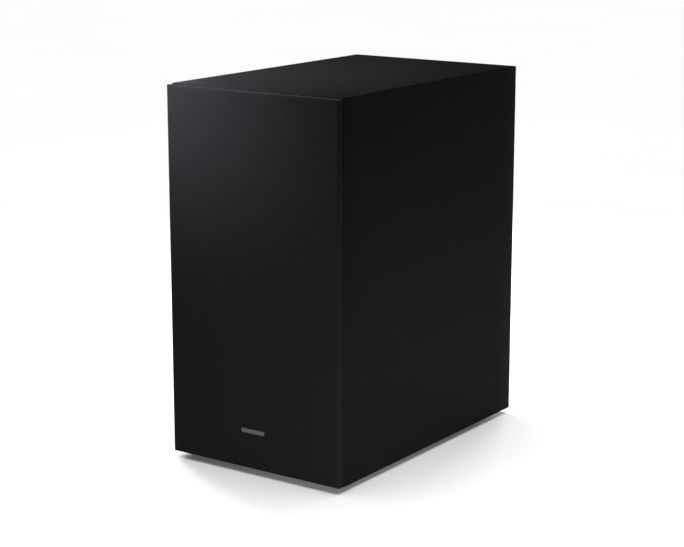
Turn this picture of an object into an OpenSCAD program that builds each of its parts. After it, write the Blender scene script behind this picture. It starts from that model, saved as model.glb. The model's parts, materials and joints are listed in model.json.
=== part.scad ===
// Wireless bass speaker for a soundbar: wrapped board cabinet, cloth grille on pegs, 16 cm woofer,
// rear bass port and rear amplifier module.
// Frame: origin under the middle of the cabinet at the bottom of the feet, front towards -Y, +Z up, mm.

/* [Cabinet] */
// Overall width
body_w = 184; // [176:1:240]
// Overall depth, badge to rear edges
body_d = 295; // [245:1:360]
// Height of the board cabinet without its feet
body_h = 338; // [280:1:420]
// Thickness of the four wrapped boards
board_t = 10; // [8:0.5:12]
// Rounding of the wrapped outer edges
edge_r = 1; // [0.5:0.1:3]
// Thickness of the front baffle
baffle_t = 12; // [9:0.5:18]
// How far the baffle sits behind the cabinet's front edges
baffle_setback = 14; // [12:0.5:20]
// Thickness of the back board
back_t = 10; // [8:0.5:15]
// How far the back board sits inside the rear edges
back_inset = 5.5; // [5.2:0.1:10]
// Glue gap around the baffle and the back board
glue_gap = 0.1; // [0.05:0.05:0.3]
// Thickness of the wadding that lines the cabinet
wadding_t = 12; // [6:1:20]

/* [Feet] */
// Height of the rubber feet
foot_h = 5; // [3.5:0.5:8]
// Radius of a foot where it meets the cabinet
foot_r = 10; // [8:0.5:14]
// Distance of a foot's centre from the cabinet's sides and ends
foot_inset = 26; // [15:1:32]
// How deep a foot screw goes into the bottom board
foot_screw_grip = 7; // [5:0.5:7.5]

/* [Grille] */
// Distance from the cloth's face to the cabinet's front edges
grille_standoff = 8; // [6.5:0.5:12]
// Shadow gap between the grille and the cabinet
grille_gap = 1.5; // [1:0.1:3]
// How far the grille is smaller than the cabinet on each side
grille_inset = 0.3; // [0:0.1:1]
// How far the grille is smaller than the cabinet at its top and bottom
grille_drop = 1; // [0:0.1:2]
// Rounding of the grille's vertical edges
grille_side_r = 1.5; // [0.8:0.1:5]
// Rounding of the grille's top and bottom edges
grille_top_r = 1.6; // [0.8:0.1:3]
// Thickness of the cloth
cloth_t = 0.6; // [0.4:0.1:1]
// Width of the frame's solid border
frame_border = 12; // [8:1:16]
// Thickness of the frame's web behind the cloth
web_t = 2.5; // [1.5:0.1:3.5]
// Width of a rib of the frame's lattice
rib_w = 3; // [2:0.5:5]
// Number of lattice windows across
lattice_cols = 6; // [6:1:9]
// Number of lattice windows up
lattice_rows = 12; // [11:1:16]
// Distance of the pegs from the cabinet's inner walls
peg_inset = 14; // [11:0.5:20]
// Radius of a peg's pin
peg_r = 2.5; // [2:0.1:3]
// Length of a peg's pin
peg_len = 10; // [7:0.5:11]
// Running clearance of a peg in its grommet
peg_clear = 0.3; // [0.2:0.05:0.5]
// Width of the plain badge
badge_w = 25; // [15:0.5:40]
// Height of the plain badge
badge_h = 4; // [3:0.1:8]
// How far the badge stands in front of the cloth
badge_proud = 0.5; // [0.3:0.1:1]
// Height of the badge's middle over the cabinet's bottom
badge_z = 36; // [25:0.5:60]

/* [Woofer] */
// Outer diameter of the woofer's mounting flange
woofer_d = 159; // [130:1:160]
// Height of the woofer's middle over the cabinet's middle
woofer_rise = 16; // [-10:1:20]
// Number of woofer screws
woofer_screw_count = 8; // [4:1:8]
// Width of the flange outside the baffle's cut-out
flange_land = 8.5; // [8:0.1:10]
// Thickness of the basket's sheet
basket_t = 2; // [1.5:0.1:2.5]
// Outer radius of the surround's roll
roll_r = 6.4; // [5:0.1:7]
// Thickness of the surround's rubber
rubber_t = 0.8; // [0.6:0.1:1.2]
// Thickness of the paper cone
cone_t = 0.9; // [0.6:0.1:1.2]
// Outer radius of the voice coil former
former_r = 13.1; // [12:0.1:14]
// Depth of the cone from its rim to its neck
cone_depth = 21.5; // [18:0.5:22]
// Radius of the ferrite magnet
magnet_r = 43; // [38:0.5:50]
// Thickness of the ferrite magnet
magnet_t = 15; // [12:0.5:20]
// Thickness of the steel top plate and back plate
plate_t = 5; // [4:0.5:6]

/* [Bass port] */
// Inner radius of the port tube
port_r = 27; // [22:0.5:30]
// Wall of the port tube
port_wall = 3; // [2:0.5:4]
// Length of the port tube from the back board's face
port_len = 145; // [100:1:160]
// Radius of the port's rear flange
port_flange_r = 42; // [40:0.5:46]
// Distance of the flange from the inside of the top board
port_margin = 16; // [8:1:30]

/* [Amplifier module] */
// Width of the rear amplifier panel
amp_w = 124; // [120:1:140]
// Height of the rear amplifier panel
amp_h = 130; // [126:1:140]
// Thickness of the rear amplifier panel
amp_t = 2.5; // [2:0.1:3]
// Overlap of the panel on the back board around its cut-out
amp_lap = 8; // [7:0.5:9]
// Distance of the panel from the inside of the bottom board
amp_margin = 12; // [8:1:24]
// Length of the posts that carry the circuit board
post_len = 17; // [15:0.5:20]
// Width of the circuit board
board_w = 100; // [96:1:102]
// Height of the circuit board
board_h = 96; // [94:1:104]
// Travel of the pairing button
button_travel = 0.8; // [0.5:0.1:1]

/* [Hidden] */
$fn = 64;
cable_sides = 8;
fit_gap = 0.05;          // clearance of screws in their pilot holes and of glued rings
gasket_t = 1;            // foam under the amplifier panel
front_gasket_t = 1.5;    // foam under the woofer's flange
screw_head_h = 1.5;
screw_r = 1.5;
screw_play = 0.3;        // clearance of a screw in the sheet under its head
foot_seat = 2.2;         // height of a foot screw's seat over the floor
foot_bevel = 1;
former_t = 0.4;
strip_w = 22;            // woofer's terminal strip and its tabs
strip_t = 1.5;
tab_t = 0.6;
overrun = 1;             // how far a cutter passes the face that it cuts

half_w = body_w / 2;
half_d = body_d / 2;
inner_w = body_w - 2 * board_t;
inner_h = body_h - 2 * board_t;
mid_z = foot_h + body_h / 2;
floor_z = foot_h + board_t;              // inside face of the bottom board
ceiling_z = foot_h + body_h - board_t;   // inside face of the top board
cloth_y = -half_d + badge_proud;
cabinet_front_y = cloth_y + grille_standoff;
grille_back_y = cabinet_front_y - grille_gap;
baffle_y = cabinet_front_y + baffle_setback;
back_y = half_d - back_inset;            // rear face of the back board
grille_w = body_w - 2 * grille_inset;
grille_h = body_h - 2 * grille_drop;
web_back_y = cloth_y + cloth_t + web_t;

peg_x = inner_w / 2 - peg_inset;
peg_z = inner_h / 2 - peg_inset;
boss_r = 5;
grommet_flange_t = 1.2;
grommet_gap = 0.3;
grommet_r = 5;
spigot_r = 2;
spigot_len = 7;
collar_t = 1;
boss_end_y = baffle_y - grommet_flange_t - grommet_gap - collar_t;

woofer_z = mid_z + woofer_rise;
flange_r = woofer_d / 2;
cutout_r = flange_r - flange_land;
skirt_r = cutout_r - 1;
flange_a = -front_gasket_t - basket_t;   // front face of the flange, along the woofer's axis
lip_w = 7;                               // basket's inward lip under the surround
lip_r = skirt_r - lip_w;
skirt_bend_a = 6;                        // where the basket's straight skirt turns inwards
surround_foot_w = 6.5;
surround_foot_a = flange_a - rubber_t;   // front face of the surround's feet
roll_mid_r = cutout_r - surround_foot_w - roll_r + rubber_t;
cone_glue_w = 4;                         // flat rim of the cone under the surround's inner foot
cone_rim_r = roll_mid_r - roll_r + rubber_t;
cone_flat_r = cone_rim_r - cone_glue_w;
neck_r = former_r + fit_gap;
neck_a = flange_a + cone_depth;
ledge_a = 25;                            // basket's step that holds the spider
ledge_r = 0.7 * skirt_r;
glue_line = 0.2;                         // between the spider and what it is glued to
spider_t = 0.6;
spider_a = ledge_a - glue_line - spider_t / 2;
pot_r = 0.8 * ledge_r;                   // basket's rear plate, and the top plate on it
pot_bore_r = 20;
basket_end_a = 40;
coil_gap = 0.9;                          // between the coil and the top plate
coil_t = 1;
coil_h = 14;
coil_mid_a = basket_end_a + plate_t / 2;
magnet_a = basket_end_a + plate_t;
yoke_a = magnet_a + magnet_t;
cap_r = 19;
cap_h = 6.5;
terminal_a = ledge_a + basket_t;
tab_pitch = 12;
tab_w = 3.2;
tab_len = 12;
tab_r = ledge_r + 12.5;                  // outer end of the solder tabs
strip_in_r = pot_r + 2 * basket_t + 1.1; // edges of the terminal strip, clear of the pot's wall
strip_out_r = tab_r - 2.2;
lead_r = 0.62 * cone_flat_r;             // where the braided leads meet the cone

port_z = ceiling_z - port_margin - port_flange_r;
flange_t = 3;
flare_r = 9;

amp_z = floor_z + amp_margin + amp_h / 2;
panel_in_y = back_y + gasket_t;
panel_out_y = panel_in_y + amp_t;
board_out_y = panel_in_y - post_len;     // face of the circuit board towards the panel
pcb_t = 1.6;
board_in_y = board_out_y - pcb_t;        // face of the circuit board towards the woofer
post_x = board_w / 2 - 6;
post_z = board_h / 2 - 6;
inlet_at = [28, -34];
inlet_size = [22, 15];
inlet_slot = [16.6, 8.8];
inlet_depth = 12.5;
inlet_pin_pitch = 8.6;
button_at = [-30, 30];
led_at = [-14, 30];
service_at = [22, 30];
button_r = 2.5;
button_flange_t = 0.8;
switch_h = 3.5;
socket_at = [36, -28];
transformer_at = [-22, -22];
core_w = 28;
core_d = 12;
core_h = 20;
core_rise = 4;                           // height of the core over the circuit board
capacitors = [[4, -28, 9, 32], [22, -30, 6.3, 24], [22, -14, 6.3, 24]]; // x, z, radius, height
plug_h = 15.2;                           // height of the plug's end over the circuit board

foot_names = ["foot_front_left", "foot_front_right", "foot_rear_left", "foot_rear_right"];
board_names = ["top_board", "left_board", "bottom_board", "right_board"];

// Route of the middle between the two speaker wires, from the plug to the woofer's solder tabs:
// place across, share of the way to the front, height over the bottom board
wire_r = 1.1;
wire_pitch = 3;
plug_z = amp_z + socket_at[1] - floor_z;
tab_z = woofer_z - tab_r - floor_z;
cable_route = [
    [36, 0, plug_z], [36, 0.03, plug_z - 1], [39, 0.09, plug_z - 7], [44, 0.15, plug_z - 17],
    [51, 0.21, 17], [56, 0.27, 8], [58, 0.34, 3], [58, 0.41, 2], [57, 0.48, 2], [54, 0.55, 2],
    [50, 0.62, 2], [44, 0.69, 3], [36, 0.76, 8], [28, 0.82, 17], [20, 0.87, 30], [13, 0.91, 46],
    [7, 0.945, 64], [3, 0.97, 82], [1, 0.99, tab_z - 12], [0, 1, tab_z], [0, 1, tab_z + 6]
];

// ---------- helpers ----------

// Child's +Z looks to the rear, and its origin is at (x, y, z)
module facing_rear(x, y, z) translate([x, y, z]) rotate([-90, 0, 0]) children();

// Child's +Z looks to the front, and its origin is at (x, y, z)
module facing_front(x, y, z) translate([x, y, z]) rotate([90, 0, 0]) children();

// Woofer's own axis: z runs backwards from the baffle's front face
module at_woofer() facing_rear(0, baffle_y, woofer_z) children();

module ring(r_out, r_in, z0, z1) {
    translate([0, 0, z0]) difference() {
        cylinder(r = r_out, h = z1 - z0);
        translate([0, 0, -overrun]) cylinder(r = r_in, h = z1 - z0 + 2 * overrun);
    }
}

module rounded_rect(w, h, r) {
    square([w - 2 * r, h], center = true);
    square([w, h - 2 * r], center = true);
    for (x = [-1, 1], y = [-1, 1]) translate([x * (w / 2 - r), y * (h / 2 - r)]) circle(r = r);
}

// Block between y0 and y1, centred on (x, z)
module block(x, z, w, h, y0, y1) translate([x - w / 2, y0, z - h / 2]) cube([w, y1 - y0, h]);

// Pan head screw: head on +Z, shank into -Z, cross recess in the head
module pan_screw(head_r, shank_r, len) {
    difference() {
        union() {
            cylinder(r1 = head_r, r2 = head_r * 0.8, h = screw_head_h);
            translate([0, 0, -len]) cylinder(r = shank_r, h = len + 0.01);
        }
        for (a = [0, 90]) rotate(a)
            translate([-head_r * 0.55, -0.35, screw_head_h - 0.8]) cube([head_r * 1.1, 0.7, overrun]);
    }
}

module pilot_hole(shank_r, len) translate([0, 0, -len]) cylinder(r = shank_r + fit_gap, h = len + overrun);

// Clearance hole through the sheets and gaskets under a screw's head
module screw_hole() translate([0, 0, -overrun]) cylinder(r = screw_r + screw_play, h = 8);

function unit(v) = v / norm(v);
function spline(a, b, c, d, t) = 0.5 * (2 * b + (c - a) * t + (2 * a - 5 * b + 4 * c - d) * t * t
    + (3 * b - a - 3 * c + d) * t * t * t);
function smooth(p, steps) = [
    for (i = [0 : len(p) - 2], s = [0 : steps - 1])
        spline(p[max(i - 1, 0)], p[i], p[i + 1], p[min(i + 2, len(p) - 1)], s / steps),
    p[len(p) - 1]
];

// Closed tube of radius r along the points p; side is a direction that the tube never runs along
module tube(p, r, side) {
    n = len(p);
    dirs = [for (i = [0 : n - 1]) unit(p[min(i + 1, n - 1)] - p[max(i - 1, 0)])];
    rings = [for (i = [0 : n - 1], k = [0 : cable_sides - 1])
        let (u = unit(cross(side, dirs[i])), v = cross(dirs[i], u), a = 360 * k / cable_sides)
        p[i] + r * (cos(a) * u + sin(a) * v)];
    walls = [for (i = [0 : n - 2], k = [0 : cable_sides - 1])
        let (j = (k + 1) % cable_sides)
        [i * cable_sides + k, (i + 1) * cable_sides + k, (i + 1) * cable_sides + j, i * cable_sides + j]];
    first = [for (k = [0 : cable_sides - 1]) k];
    last = [for (k = [cable_sides - 1 : -1 : 0]) (n - 1) * cable_sides + k];
    polyhedron(rings, concat(walls, [first, last]));
}

// ---------- cabinet ----------

// Sizes of the mitred boards: each is the part of the wrapped ring inside its own wedge
module board(side) {
    across = side % 2 == 0 ? body_w : body_h;
    up = (side % 2 == 0 ? body_h : body_w) / 2;
    reach = board_t + overrun;
    color([0.09, 0.09, 0.095])
    difference() {
        facing_front(0, half_d, mid_z) linear_extrude(half_d - cabinet_front_y) intersection() {
            difference() {
                rounded_rect(body_w, body_h, edge_r);
                square([inner_w, inner_h], center = true);
            }
            rotate(90 * side) polygon([
                [-across / 2 - overrun, up + overrun], [across / 2 + overrun, up + overrun],
                [across / 2 - reach, up - reach], [-across / 2 + reach, up - reach]
            ]);
        }
        if (side == 2) for (i = [0 : 3])
            at_foot(i) mirror([0, 0, 1]) pilot_hole(screw_r, foot_screw_grip + 0.5);
    }
}

module front_baffle() {
    color([0.45, 0.36, 0.27]) difference() {
        block(0, mid_z, inner_w - 2 * glue_gap, inner_h - 2 * glue_gap, baffle_y, baffle_y + baffle_t);
        facing_rear(0, baffle_y - overrun, woofer_z) cylinder(r = cutout_r, h = baffle_t + 2 * overrun);
        at_woofer_screws() pilot_hole(screw_r, baffle_t - 2);
        at_pegs(baffle_y - overrun) cylinder(r = grommet_r, h = baffle_t + 2 * overrun);
    }
}

module back_board() {
    color([0.10, 0.10, 0.10]) difference() {
        block(0, mid_z, inner_w - 2 * glue_gap, inner_h - 2 * glue_gap, back_y - back_t, back_y);
        facing_rear(0, back_y - back_t - overrun, port_z)
            cylinder(r = port_r + port_wall + fit_gap, h = back_t + 2 * overrun);
        block(0, amp_z, amp_w - 2 * amp_lap, amp_h - 2 * amp_lap,
              back_y - back_t - overrun, back_y + overrun);
        at_panel_screws(back_y) pilot_hole(screw_r, back_t - 1);
        at_port_screws(back_y) pilot_hole(screw_r, back_t - 1);
    }
}

module damping_wadding() {
    y0 = baffle_y + baffle_t + basket_end_a;
    y1 = board_in_y - 40;
    z0 = amp_z + 10;
    w = inner_w - 1;
    color([0.86, 0.86, 0.84]) difference() {
        translate([-w / 2, y0, z0]) cube([w, y1 - y0, ceiling_z - 0.5 - z0]);
        translate([-w / 2 + wadding_t, y0 - overrun, z0 - overrun])
            cube([w - 2 * wadding_t, y1 - y0 + 2 * overrun, ceiling_z - 0.5 - z0 - wadding_t + overrun]);
    }
}

// ---------- feet ----------

module at_foot(i) {
    x = (i % 2 == 0 ? -1 : 1) * (half_w - foot_inset);
    y = i < 2 ? cabinet_front_y + foot_inset : half_d - foot_inset;
    translate([x, y, foot_h]) children();
}

module foot(i) {
    color([0.05, 0.05, 0.05]) at_foot(i) rotate_extrude() difference() {
        polygon([
            [screw_r + screw_play, 0], [foot_r, 0], [foot_r, foot_bevel - foot_h],
            [foot_r - foot_bevel, -foot_h], [screw_r + screw_play, -foot_h]
        ]);
        translate([0, -foot_h - overrun]) square([foot_r / 2, overrun + foot_seat]);
    }
}

module foot_screws() {
    color([0.6, 0.6, 0.62]) for (i = [0 : 3]) at_foot(i)
        translate([0, 0, foot_seat - foot_h]) mirror([0, 0, 1])
            pan_screw(3, screw_r, foot_h - foot_seat + foot_screw_grip);
}

// ---------- grille ----------

// Solid of the whole grille, drawn in by inset on its front and sides, and longer at its back by reach
module grille_solid(inset, reach = 0) {
    w = grille_w - 2 * inset;
    h = grille_h - 2 * inset;
    depth = grille_back_y - cloth_y - inset + reach;
    rs = grille_side_r - inset;
    rt = grille_top_r - inset;
    intersection() {
        translate([0, cloth_y + inset, mid_z - h / 2]) linear_extrude(h) {
            translate([-w / 2 + rs, 0]) square([w - 2 * rs, depth]);
            translate([-w / 2, rs]) square([w, depth - rs]);
            for (s = [-1, 1]) translate([s * (w / 2 - rs), rs]) circle(r = rs);
        }
        translate([-w / 2 - overrun, cloth_y + inset, mid_z])
            rotate([90, 0, 90]) linear_extrude(w + 2 * overrun) {
                translate([0, -h / 2 + rt]) square([depth, h - 2 * rt]);
                translate([rt, -h / 2]) square([depth - rt, h]);
                for (s = [-1, 1]) translate([rt, s * (h / 2 - rt)]) circle(r = rt);
            }
    }
}

module grille_cloth() {
    color([0.13, 0.13, 0.135]) difference() {
        grille_solid(0);
        grille_solid(cloth_t, overrun);
    }
}

// Windows between ribs; the four corner cells stay solid and carry the pegs
module lattice() {
    w = grille_w - 2 * frame_border;
    h = grille_h - 2 * frame_border;
    px = (w + rib_w) / lattice_cols;
    pz = (h + rib_w) / lattice_rows;
    difference() {
        square([w + 2 * overrun, h + 2 * overrun], center = true);
        for (i = [0 : lattice_cols - 1], j = [0 : lattice_rows - 1])
            if ((i > 0 && i < lattice_cols - 1) || (j > 0 && j < lattice_rows - 1))
                translate([-w / 2 + i * px, -h / 2 + j * pz]) square([px - rib_w, pz - rib_w]);
    }
}

// Rounded border at full depth, a thin lattice web behind the cloth and four bosses for the pegs
module grille_frame() {
    w = grille_w - 2 * frame_border;
    h = grille_h - 2 * frame_border;
    color([0.07, 0.07, 0.07]) difference() {
        union() {
            difference() {
                grille_solid(cloth_t);
                block(0, mid_z, w, h, cloth_y - overrun, grille_back_y + overrun);
            }
            facing_front(0, web_back_y, mid_z) linear_extrude(web_t) lattice();
            at_pegs(cloth_y + cloth_t) cylinder(r = boss_r, h = boss_end_y - cloth_y - cloth_t);
        }
        at_pegs(boss_end_y - spigot_len - fit_gap)
            cylinder(r = spigot_r + fit_gap, h = spigot_len + overrun);
    }
}

module at_pegs(y) for (x = [-1, 1], z = [-1, 1]) facing_rear(x * peg_x, y, mid_z + z * peg_z) children();

module grille_pegs() {
    nose = peg_r * 0.6;
    color([0.8, 0.8, 0.78]) at_pegs(boss_end_y) {
        translate([0, 0, -spigot_len]) cylinder(r = spigot_r, h = spigot_len + 0.01);
        cylinder(r = boss_r - 1, h = collar_t);
        translate([0, 0, collar_t - 0.01]) cylinder(r = peg_r, h = peg_len - nose + 0.01);
        translate([0, 0, collar_t + peg_len - nose]) cylinder(r1 = peg_r, r2 = peg_r - nose, h = nose);
    }
}

module grille_grommets() {
    color([0.06, 0.06, 0.06]) at_pegs(baffle_y) {
        ring(grommet_r + 2, peg_r + peg_clear, -grommet_flange_t, 0);
        ring(grommet_r - fit_gap, peg_r + peg_clear, -0.01, baffle_t);
    }
}

module grille_badge() {
    color([0.45, 0.45, 0.47]) facing_front(0, cloth_y, foot_h + badge_z) linear_extrude(badge_proud)
        rounded_rect(badge_w, badge_h, 0.9);
}

// ---------- woofer ----------

module at_woofer_screws() {
    for (i = [0 : woofer_screw_count - 1]) {
        a = 360 * (i + 0.5) / woofer_screw_count;
        r = flange_r - flange_land / 2;
        facing_front(r * cos(a), baffle_y, woofer_z + r * sin(a)) children();
    }
}

// Pressed sheet: flange, slanted skirt with windows, step for the spider, pot and rear plate
module woofer_basket() {
    t = basket_t;
    window_count = 8;
    window = [30, 27, 16];
    color([0.12, 0.12, 0.13]) difference() {
        at_woofer() difference() {
            rotate_extrude() polygon([
                [flange_r, flange_a], [flange_r, flange_a + t], [skirt_r, flange_a + t],
                [skirt_r, skirt_bend_a], [ledge_r + t, ledge_a], [ledge_r + t, ledge_a + t],
                [pot_r + 2 * t, ledge_a + t], [pot_r, basket_end_a - 2 * t], [pot_r, basket_end_a],
                [pot_bore_r, basket_end_a], [pot_bore_r, basket_end_a - t], [pot_r - t, basket_end_a - t],
                [pot_r + t, ledge_a], [ledge_r, ledge_a], [skirt_r - t, skirt_bend_a - t / 3],
                [skirt_r - t, flange_a + t], [lip_r, flange_a + t], [lip_r, flange_a]
            ]);
            for (i = [0 : window_count - 1]) rotate(360 * i / window_count)
                translate([(skirt_r + ledge_r) / 2, 0, (skirt_bend_a + ledge_a) / 2])
                    rotate([0, 45, 0]) cube(window, center = true);
        }
        at_woofer_screws() screw_hole();
    }
}

module woofer_gasket() {
    color([0.2, 0.2, 0.2]) difference() {
        at_woofer() ring(flange_r, cutout_r, -front_gasket_t, 0);
        at_woofer_screws() screw_hole();
    }
}

module surround_clamp_ring() {
    color([0.08, 0.08, 0.08]) at_woofer()
        ring(cutout_r + 0.8, roll_mid_r + roll_r + 1, surround_foot_a - 3, surround_foot_a);
}

module woofer_screws() {
    stack = front_gasket_t + basket_t;
    color([0.5, 0.5, 0.5]) at_woofer_screws()
        translate([0, 0, stack]) pan_screw(2.9, screw_r, stack + baffle_t - 3);
}

module top_plate() {
    bore_r = former_r + coil_t + coil_gap;
    color([0.6, 0.6, 0.62]) at_woofer() ring(pot_r, bore_r, basket_end_a, magnet_a);
}

module magnet_ring() color([0.22, 0.22, 0.23]) at_woofer() ring(magnet_r, magnet_r / 2, magnet_a, yoke_a);

// Back plate and pole, with a vent through both
module pole_yoke() {
    vent_r = 5;
    pole_r = former_r - former_t - 0.7;
    color([0.6, 0.6, 0.62]) at_woofer() {
        ring(pot_r, vent_r, yoke_a, yoke_a + plate_t);
        ring(pole_r, vent_r, basket_end_a - 1.5, yoke_a + 0.01);
    }
}

// Phenolic strip under the basket's ledge with two solder tabs
module terminal_strip() {
    color([0.55, 0.36, 0.2]) at_woofer() {
        translate([-strip_w / 2, strip_in_r, terminal_a]) cube([strip_w, strip_out_r - strip_in_r, strip_t]);
        for (s = [-1, 1]) translate([s * tab_pitch / 2 - tab_w / 2, tab_r - tab_len, terminal_a + strip_t])
            cube([tab_w, tab_len, tab_t]);
    }
}

// Two braided leads that loop from the solder tabs through a basket window to the cone
module tinsel_leads() {
    r = 0.6;
    apart = 5;
    end_a = cone_a(lead_r) + cone_t + r;
    p = smooth([
        [ledge_r + 7.5, terminal_a], [ledge_r + 8, terminal_a - 5], [ledge_r + 6, 17],
        [ledge_r - 1, end_a + 6.5], [lead_r + 10, end_a + 6], [lead_r + 3.5, end_a + 3.5], [lead_r, end_a]
    ], 3);
    color([0.75, 0.5, 0.3]) at_woofer() for (s = [-1, 1])
        tube([for (q = p) [s * apart, q[0], q[1]]], r, [1, 0, 0]);
}

module surround() {
    color([0.05, 0.05, 0.05]) at_woofer() rotate_extrude() {
        intersection() {
            difference() {
                translate([roll_mid_r, flange_a]) circle(r = roll_r);
                translate([roll_mid_r, flange_a]) circle(r = roll_r - rubber_t);
            }
            translate([roll_mid_r - roll_r - overrun, flange_a - roll_r - overrun])
                square([2 * roll_r + 2 * overrun, roll_r + overrun]);
        }
        translate([roll_mid_r + roll_r - rubber_t / 2, surround_foot_a]) square([surround_foot_w, rubber_t]);
        translate([cone_flat_r, surround_foot_a]) square([cone_glue_w - rubber_t / 2, rubber_t]);
    }
}

// Rippled cloth disc between the coil former and the basket's step
module spider() {
    waves = 3;
    crest = 1.4;
    steps = 36;
    t = spider_t / 2;
    hole_r = former_r + glue_line;
    wave_r = hole_r + 3;
    wave_w = ledge_r - 6.5 - wave_r;
    rim_r = ledge_r - 0.8;
    wave = [for (i = [0 : steps])
        [wave_r + wave_w * i / steps, spider_a + crest * sin(360 * waves * i / steps)]];
    front = [for (q = wave) q - [0, t]];
    back = [for (i = [steps : -1 : 0]) wave[i] + [0, t]];
    color([0.80, 0.66, 0.36]) at_woofer() rotate_extrude() polygon(concat(
        [[hole_r, spider_a - t]], front, [[rim_r, spider_a - t], [rim_r, spider_a + t]],
        back, [[hole_r, spider_a + t]]));
}

// Depth of the cone's front face at radius r
function cone_a(r) = flange_a + cone_depth * pow(1 - (r - neck_r) / (cone_flat_r - neck_r), 1.12);

module cone() {
    steps = 10;
    radii = [for (i = [0 : steps]) cone_flat_r + (neck_r - cone_flat_r) * i / steps];
    front = [for (r = radii) [r, cone_a(r)]];
    rear = [for (i = [steps : -1 : 0]) [radii[i] + (i == steps ? cone_t : 0.25), cone_a(radii[i]) + cone_t]];
    color([0.07, 0.07, 0.08]) at_woofer() rotate_extrude()
        polygon(concat([[cone_rim_r, flange_a]], front, rear, [[cone_rim_r, flange_a + cone_t]]));
}

module dust_cap() {
    sphere_r = (cap_r * cap_r + cap_h * cap_h) / (2 * cap_h);
    rim_a = cone_a(cap_r) - fit_gap;
    color([0.06, 0.06, 0.06]) at_woofer() intersection() {
        translate([0, 0, rim_a - cap_h + sphere_r]) difference() {
            sphere(r = sphere_r, $fn = 128);
            sphere(r = sphere_r - 0.7, $fn = 128);
        }
        translate([0, 0, rim_a - cap_h - overrun]) cylinder(r = cap_r + 5, h = cap_h + overrun);
    }
}

module voice_coil_former() {
    color([0.78, 0.62, 0.3]) at_woofer()
        ring(former_r, former_r - former_t, neck_a - 1.5, coil_mid_a + coil_h / 2 + 2);
}

module voice_coil_winding() {
    color([0.72, 0.42, 0.2]) at_woofer()
        ring(former_r + coil_t, former_r + fit_gap, coil_mid_a - coil_h / 2, coil_mid_a + coil_h / 2);
}

// ---------- bass port ----------

module at_port_screws(y) {
    for (i = [0 : 3]) {
        a = 45 + 90 * i;
        r = port_flange_r - 3.9;
        facing_rear(r * cos(a), y, port_z + r * sin(a)) children();
    }
}

// Tube with a rounded flare and flange at the rear and a smaller flare inside
module port_tube() {
    out_r = port_r + port_wall;
    color([0.06, 0.06, 0.065]) difference() {
        facing_rear(0, back_y, port_z) rotate_extrude() difference() {
            union() {
                translate([port_r, flare_r - port_len]) square([port_wall, port_len - flare_r]);
                square([port_flange_r, flange_t]);
                difference() {
                    translate([port_r, -port_len]) square([flare_r, flare_r]);
                    translate([port_r + flare_r + port_wall, flare_r - port_len]) circle(r = flare_r);
                }
            }
            translate([0, -port_len - overrun]) square([port_r, port_len + flange_t + 2 * overrun]);
            difference() {
                translate([0, flange_t - flare_r]) square([port_r + flare_r, flare_r + overrun]);
                translate([port_r + flare_r, flange_t - flare_r]) circle(r = flare_r);
                translate([port_r + flare_r, -port_len]) square([flare_r, 2 * port_len]);
            }
            translate([out_r, flange_t - flare_r - overrun]) square([flare_r, flare_r + overrun - flange_t]);
            difference() {
                translate([0, -port_len - overrun]) square([port_r + flare_r, flare_r + overrun]);
                translate([port_r + flare_r, flare_r - port_len]) circle(r = flare_r);
            }
        }
        at_port_screws(back_y) screw_hole();
    }
}

module port_screws() {
    color([0.1, 0.1, 0.1]) at_port_screws(back_y + flange_t) pan_screw(2.9, screw_r, flange_t + back_t - 2);
}

// ---------- amplifier module ----------

module at_panel_screws(y) {
    for (x = [-1, 1], z = [-1, 0, 1])
        facing_rear(x * (amp_w / 2 - amp_lap / 2), y, amp_z + z * (amp_h / 2 - amp_lap / 2 - 1)) children();
}

module at_posts(y) for (x = [-1, 1], z = [-1, 1]) facing_rear(x * post_x, y, amp_z + z * post_z) children();

// Place on the panel, given as [x, z] from its middle
module on_panel(at, y) facing_rear(at[0], y, amp_z + at[1]) children();

// Plate with a raised rim, ribs, posts for the circuit board and openings for what comes through it
module amp_panel() {
    rim = 1.2;
    rim_w = 2;
    color([0.07, 0.07, 0.07]) difference() {
        union() {
            facing_rear(0, panel_in_y, amp_z) linear_extrude(amp_t) rounded_rect(amp_w, amp_h, 5);
            facing_rear(0, panel_out_y, amp_z) linear_extrude(rim) difference() {
                rounded_rect(amp_w, amp_h, 5);
                rounded_rect(amp_w - 2 * rim_w, amp_h - 2 * rim_w, 3);
            }
            on_panel(inlet_at, panel_out_y) linear_extrude(rim) difference() {
                rounded_rect(inlet_size[0] + 7, inlet_size[1] + 7, 3);
                rounded_rect(inlet_size[0] + 4, inlet_size[1] + 4, 2);
            }
            on_panel([0, 30], panel_out_y) linear_extrude(0.6) difference() {
                rounded_rect(90, 18, 4);
                rounded_rect(87, 15, 3);
            }
            for (i = [0 : 4])
                on_panel([-22, -14 - 7 * i], panel_out_y) linear_extrude(0.8) rounded_rect(52, 2.2, 1);
            at_posts(board_out_y) cylinder(r = 4, h = post_len + 0.01);
        }
        at_posts(board_out_y - overrun) cylinder(r = 1.25 + fit_gap, h = 10);
        at_panel_screws(panel_in_y) screw_hole();
        on_panel(inlet_at, panel_in_y - overrun) linear_extrude(8)
            rounded_rect(inlet_size[0] + 0.4, inlet_size[1] + 0.4, 1.7);
        on_panel(button_at, panel_in_y - overrun) cylinder(r = button_r + 0.25, h = 8);
        on_panel(led_at, panel_in_y - overrun) cylinder(r = 1.6, h = 8);
        on_panel(service_at, panel_in_y - overrun) linear_extrude(8) rounded_rect(9, 4.4, 1);
    }
}

module amp_gasket() {
    color([0.2, 0.2, 0.2]) difference() {
        facing_rear(0, back_y, amp_z) linear_extrude(gasket_t) difference() {
            rounded_rect(amp_w - 1, amp_h - 1, 4.5);
            square([amp_w - 2 * amp_lap, amp_h - 2 * amp_lap], center = true);
        }
        at_panel_screws(back_y) screw_hole();
    }
}

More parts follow.
